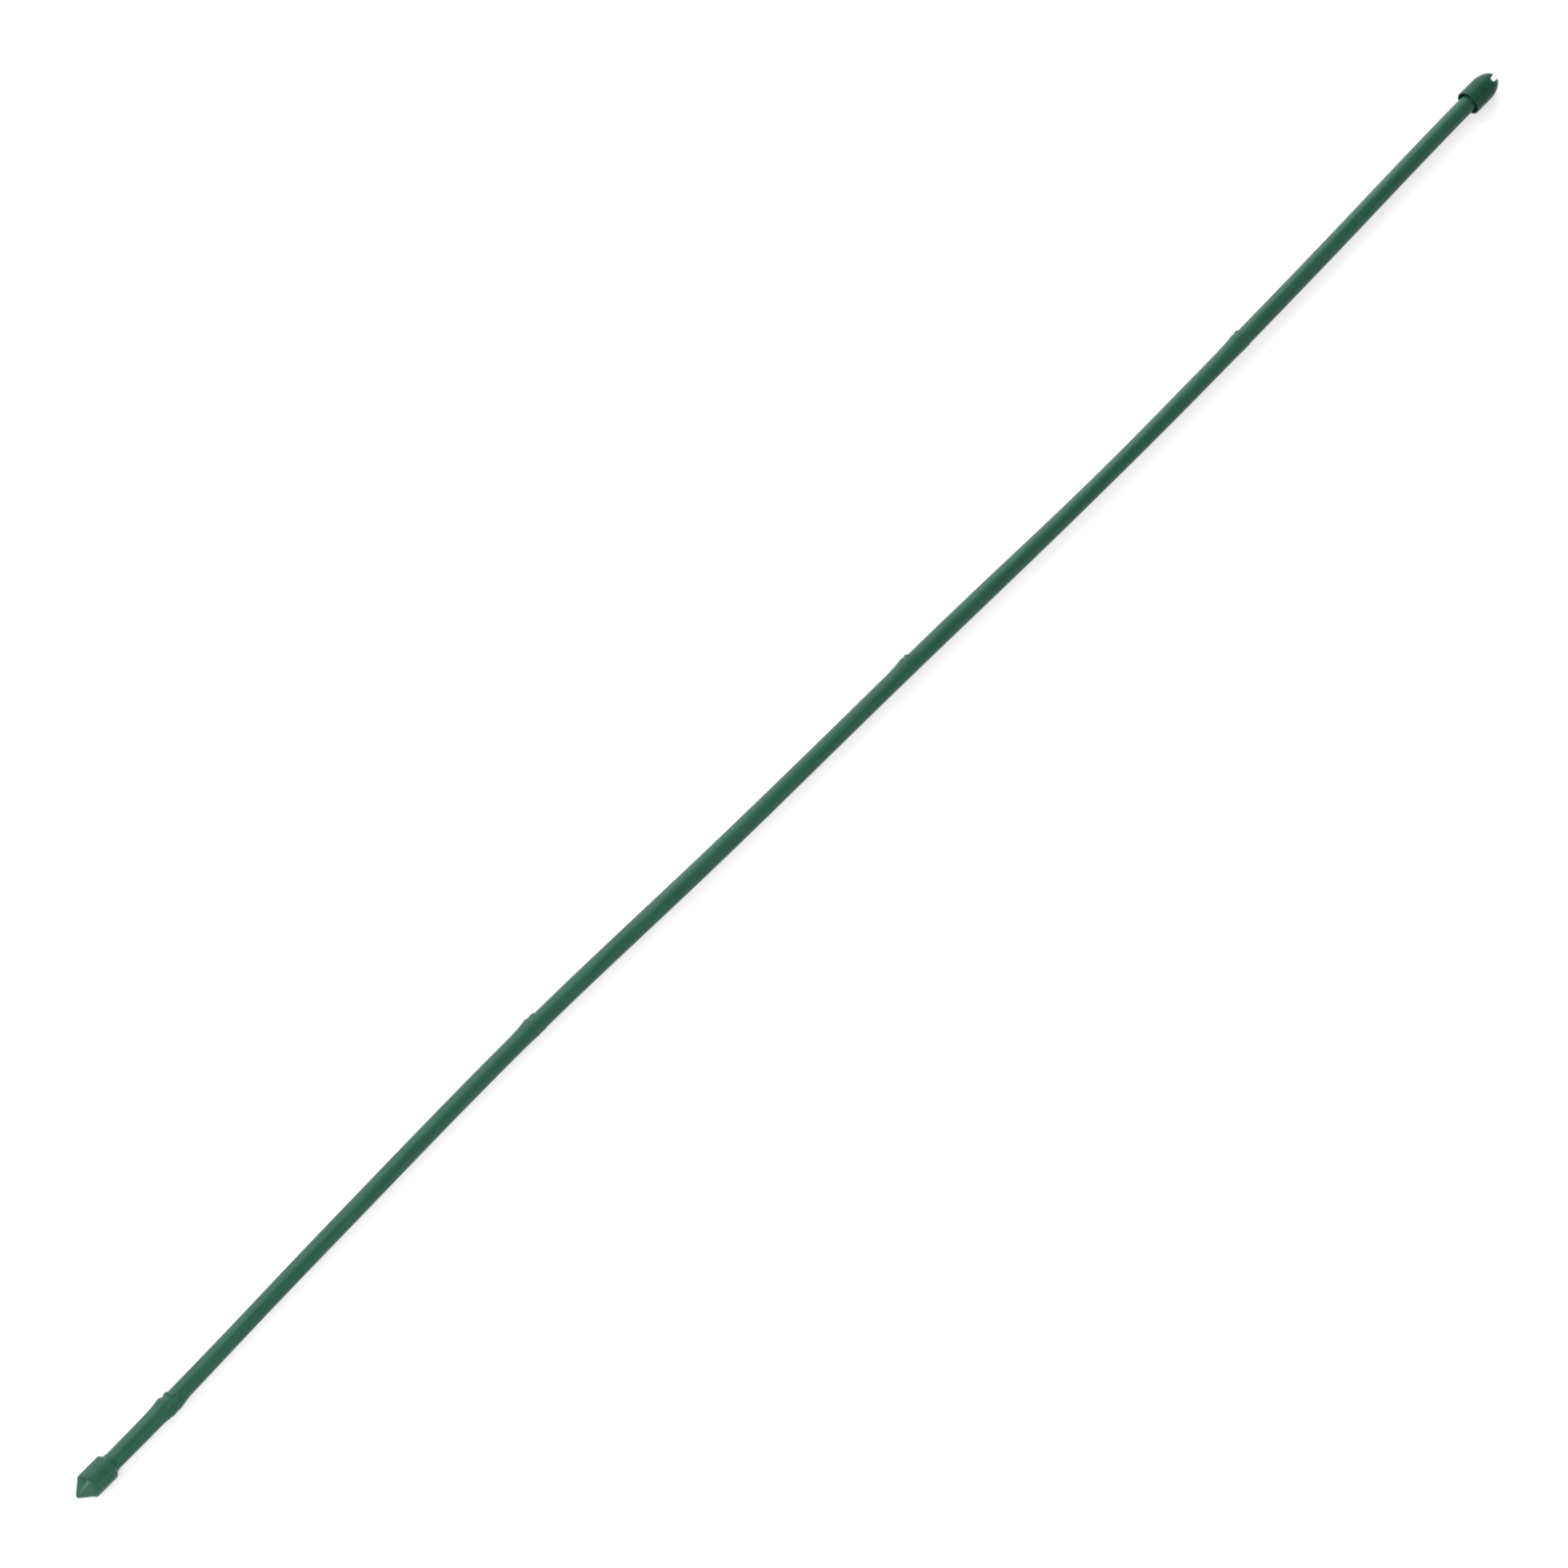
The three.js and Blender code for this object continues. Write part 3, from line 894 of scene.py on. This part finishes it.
class STAKE_OT_top_cap(bpy.types.Operator):
    """Model the notched top cap"""

    bl_idname = "stake.top_cap"
    bl_label = "Notched Top Cap"

    def execute(self, context):
        sizes = context.scene.stake_top
        crown = TOP_MOUTH + sizes.length
        notch_floor = crown - sizes.notch_depth
        seat = notch_floor - sizes.roof
        piece = self.shell(sizes, crown, seat)
        combine(piece, self.ribs(sizes, seat), "UNION")
        combine(piece, self.notch(sizes, notch_floor), "DIFFERENCE")
        self.soften_notch(piece, sizes, notch_floor)
        mark_relief(piece)
        finishes = context.scene.stake_finishes
        green = moulded_material("cap_green", finishes.cap, finishes.cap_gloss)
        finish_piece(piece, "top", "top_cap", green, sizes.smooth)
        return {"FINISHED"}

    def shell(self, sizes, crown, seat):
        """Turned shell: the roof over the stem's seat, the bore, the rounded mouth, the barrel, the dome."""
        bore = CAP_RADIUS - sizes.wall
        rim = sizes.rim_round
        rim_end = TOP_MOUTH + rim
        dome_start = crown - sizes.dome
        # The dome's last ring is just short of the crown, where it is drawn together.
        last_angle = 0.03
        profile = [(seat, bore), (rim_end, bore)]
        profile += arc((rim_end, bore + rim), (rim, rim), 3 * RIGHT_ANGLE, 2 * RIGHT_ANGLE, steps=4)[1:]
        profile += arc((rim_end, CAP_RADIUS - rim), (rim, rim), 2 * RIGHT_ANGLE, RIGHT_ANGLE, steps=4)
        profile += barrel_line(rim_end, dome_start, CAP_RADIUS, steps=4)
        profile += arc((dome_start, 0), (sizes.dome, CAP_RADIUS), RIGHT_ANGLE, last_angle, steps=22)[1:]
        piece = turned_piece("notched_cap", rings_on_axis(profile), CAP_SIDES, solid_start=True)
        last_step = crown - profile[-1][0]
        bpy.ops.mesh.extrude_edges_move(TRANSFORM_OT_translate={"value": (last_step, 0, 0)})
        bpy.ops.mesh.merge(type="CENTER")
        close_mesh()
        return piece

    def ribs(self, sizes, seat):
        """Grip ribs, modelled once and copied around the bore."""
        start = TOP_MOUTH + sizes.rib_setback
        end = seat + sizes.rib_root
        outer = CAP_RADIUS - sizes.wall + sizes.rib_root
        height = outer - sizes.grip / 2
        centre = on_axis((start + end) / 2) + Vector((0, 0, outer - height / 2))
        rib = block((end - start, sizes.rib_width, height), centre)
        select_edges(rib, lambda edge: all(v.co.z < centre.z for v in edge.verts))
        bpy.ops.mesh.bevel(offset=sizes.rib_width / 4, segments=3, affect="EDGES")
        bpy.ops.mesh.select_all(action="SELECT")
        step = FULL_TURN / sizes.rib_count
        for _ in range(sizes.rib_count - 1):
            bpy.ops.mesh.duplicate()
            bpy.ops.transform.rotate(value=step, orient_axis="X", center_override=on_axis(start))
        bpy.ops.object.mode_set(mode="OBJECT")
        return rib

    def notch(self, sizes, notch_floor):
        """Cutter for the notch, which opens towards the crown and is rounded along its floor. It reaches as
        far past the crown as the notch is deep."""
        depth = 2 * sizes.notch_depth
        flare = 1 + 2 * (sizes.notch_flare - 1)
        floor = on_axis(notch_floor)
        centre = floor + Vector((depth / 2, 0, 0))
        cutter = block((depth, sizes.notch_floor, 4 * CAP_RADIUS), centre)
        select_edges(cutter, lambda edge: all(v.co.x > centre.x for v in edge.verts))
        bpy.ops.transform.resize(value=(1, flare, 1), center_override=floor)
        bpy.ops.object.mode_set(mode="OBJECT")
        select_edges(cutter, lambda edge: (
            all(v.co.x < centre.x for v in edge.verts) and edge.calc_length() > 2 * CAP_RADIUS))
        bpy.ops.mesh.bevel(offset=sizes.notch_round, segments=5, affect="EDGES")
        bpy.ops.mesh.select_all(action="SELECT")
        bpy.ops.transform.rotate(value=-sizes.notch_turn, orient_axis="X", center_override=floor)
        bpy.ops.object.mode_set(mode="OBJECT")
        return cutter

    def soften_notch(self, piece, sizes, notch_floor):
        """Rounds the sharp edges that the notch leaves."""
        low = TIP + notch_floor - sizes.edge_round
        select_edges(piece, lambda edge: (
            all(v.co.x > low for v in edge.verts) and edge.calc_face_angle(0) > SHARP_BEND))
        bpy.ops.mesh.bevel(offset=sizes.edge_round, segments=2, affect="EDGES", clamp_overlap=True)
        close_mesh()


class STAKE_OT_stage(bpy.types.Operator):
    """Set up the floor, the soft light and the camera"""

    bl_idname = "stake.stage"
    bl_label = "Stage"

    def execute(self, context):
        settings = context.scene.stake_stage
        context.scene.view_settings.view_transform = "Standard"
        self.floor(settings)
        self.world(context, settings)
        for lamp in LAMPS:
            self.light(context, lamp, settings.light_level)
        self.camera(context, settings)
        return {"FINISHED"}

    def floor(self, settings):
        """Plain floor under the stake."""
        bpy.ops.object.select_all(action="DESELECT")
        bpy.ops.mesh.primitive_plane_add(size=settings.floor_size)
        floor = bpy.context.object
        floor.name = floor.data.name = "floor"
        floor.data.materials.append(floor_material(settings))

    def world(self, context, settings):
        """Even soft light from above, and white from the horizon down."""
        world = bpy.data.worlds.new("studio")
        sky = Shading(world, "Background")
        direction = sky.node("ShaderNodeTexCoord", {}, {}).outputs["Generated"]
        height = sky.node("ShaderNodeSeparateXYZ", {}, {"Vector": direction}).outputs["Z"]
        share = sky.limit(height, settings.horizon_low, settings.horizon_high)
        sky.set(Color=sky.mix(share, shade(WHITE, 1), shade(WHITE, settings.ambient)), Strength=1.0)
        context.scene.world = world

    def light(self, context, lamp, level):
        """One rectangular soft light that faces its target."""
        area = bpy.data.lights.new(lamp.name, "AREA")
        area.shape = "RECTANGLE"
        area.size, area.size_y = lamp.size
        area.energy = lamp.power * level
        light = bpy.data.objects.new(lamp.name, area)
        context.collection.objects.link(light)
        light.location = lamp.place
        face_target(light, lamp.target)

    def camera(self, context, settings):
        """Camera at the photograph's angle."""
        lens = bpy.data.cameras.new("camera")
        lens.lens = settings.lens
        lens.clip_end = settings.view_end
        camera = bpy.data.objects.new("camera", lens)
        context.collection.objects.link(camera)
        camera.location = settings.camera_place
        face_target(camera, settings.camera_target)
        context.scene.camera = camera


class STAKE_PT_sidebar(bpy.types.Panel):
    """Lists the stake's pieces, its stage and their sizes"""

    bl_idname = "STAKE_PT_sidebar"
    bl_label = "Plant Stake"
    bl_space_type = "VIEW_3D"
    bl_region_type = "UI"
    bl_category = "Stake"

    def draw(self, context):
        for operator in OPERATORS:
            self.layout.operator(operator.bl_idname)
        for name, group in GROUPS.items():
            box = self.layout.box()
            box.label(text=group.__doc__)
            for value in group.__annotations__:
                box.prop(getattr(context.scene, name), value)


GROUPS = {
    "stake_stem": StemSizes,
    "stake_foot": FootSizes,
    "stake_top": TopSizes,
    "stake_finishes": StakeFinishes,
    "stake_stage": StageSettings,
}
OPERATORS = (STAKE_OT_steel_tube, STAKE_OT_coating, STAKE_OT_foot, STAKE_OT_top_cap, STAKE_OT_stage)
CLASSES = (*GROUPS.values(), *OPERATORS, STAKE_PT_sidebar)


def register():
    for cls in CLASSES:
        bpy.utils.register_class(cls)
    for name, group in GROUPS.items():
        setattr(bpy.types.Scene, name, PointerProperty(type=group))


def unregister():
    for name in GROUPS:
        delattr(bpy.types.Scene, name)
    for cls in reversed(CLASSES):
        bpy.utils.unregister_class(cls)


def main():
    register()
    bpy.ops.stake.steel_tube()
    bpy.ops.stake.coating()
    bpy.ops.stake.foot()
    bpy.ops.stake.top_cap()
    bpy.ops.stake.stage()


if __name__ == "__main__":
    main()
